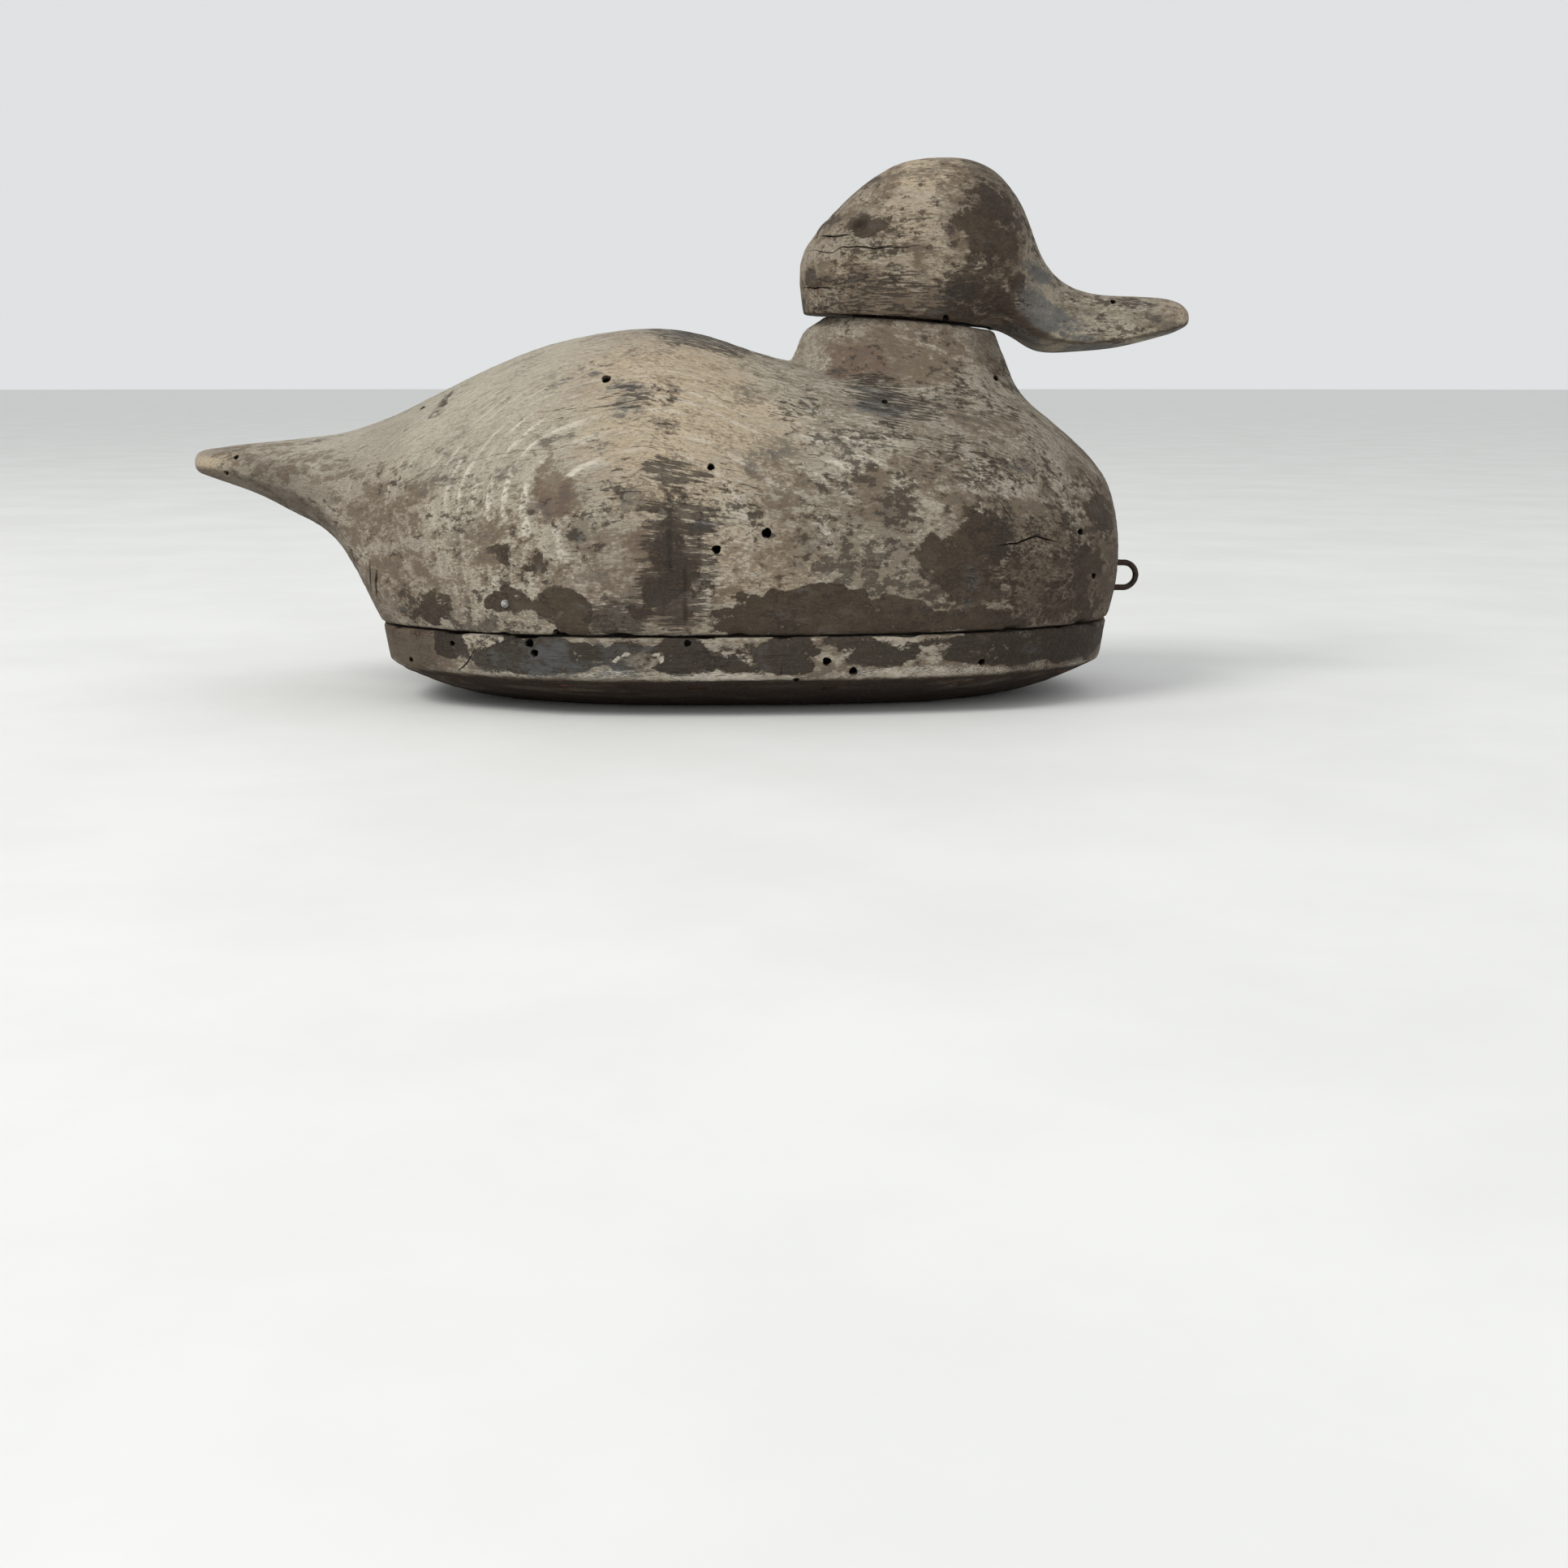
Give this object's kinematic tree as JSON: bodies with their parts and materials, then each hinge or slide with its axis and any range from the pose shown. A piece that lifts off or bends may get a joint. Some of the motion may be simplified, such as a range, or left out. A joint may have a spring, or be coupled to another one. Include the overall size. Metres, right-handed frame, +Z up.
{
  "type": "floating duck decoy",
  "caption": "Hollow carved duck decoy with a bevelled bottom board, a head that turns on a dowel and a wire loop for an anchor line.",
  "frame": {"origin": "on the surface that the decoy rests on, midway between the tips of its tail and its bill, on its plane of symmetry", "axes": "+X from the tail to the bill, +Y to the decoy's left, +Z up"},
  "size_m": [0.3778, 0.1606, 0.1995],
  "materials": {
    "weathered_body": "bare weathered wood with worn remains of brown and grey paint",
    "weathered_board": "bare weathered wood with worn remains of brown paint, dark below the bevel",
    "dried_caulk": "dry, black",
    "weathered_head": "bare weathered wood with worn remains of dark paint, greenish bill",
    "dowel_wood": "plain, darkened by handling",
    "washer_leather": "dry, dark",
    "rusted_iron": "rusted",
    "oxidised_lead": "dull grey with a pale oxide",
    "rusted_wire": "dark rust",
    "bloomed_lead": "lead under a white bloom"
  },
  "bodies": {
    "body": {"body_block": "weathered_body", "bottom_board": "weathered_board", "seam_caulk": "dried_caulk", "neck_washer": "washer_leather", "bottom_nails": "rusted_iron", "ballast_weight": "oxidised_lead", "ballast_nails": "rusted_iron", "line_tie_staple": "rusted_wire", "lead_pellet": "bloomed_lead"},
    "head": {"head": "weathered_head", "neck_dowel": "dowel_wood", "dowel_pin": "rusted_iron", "retaining_washer": "washer_leather"}
  },
  "joints": [
    {"name": "head_turn", "type": "hinge", "parent": "body", "child": "head", "pos_m": [0.0795, 0, 0.14076], "axis": [0.0715, 0, 0.9974], "continuous": true}
  ]
}
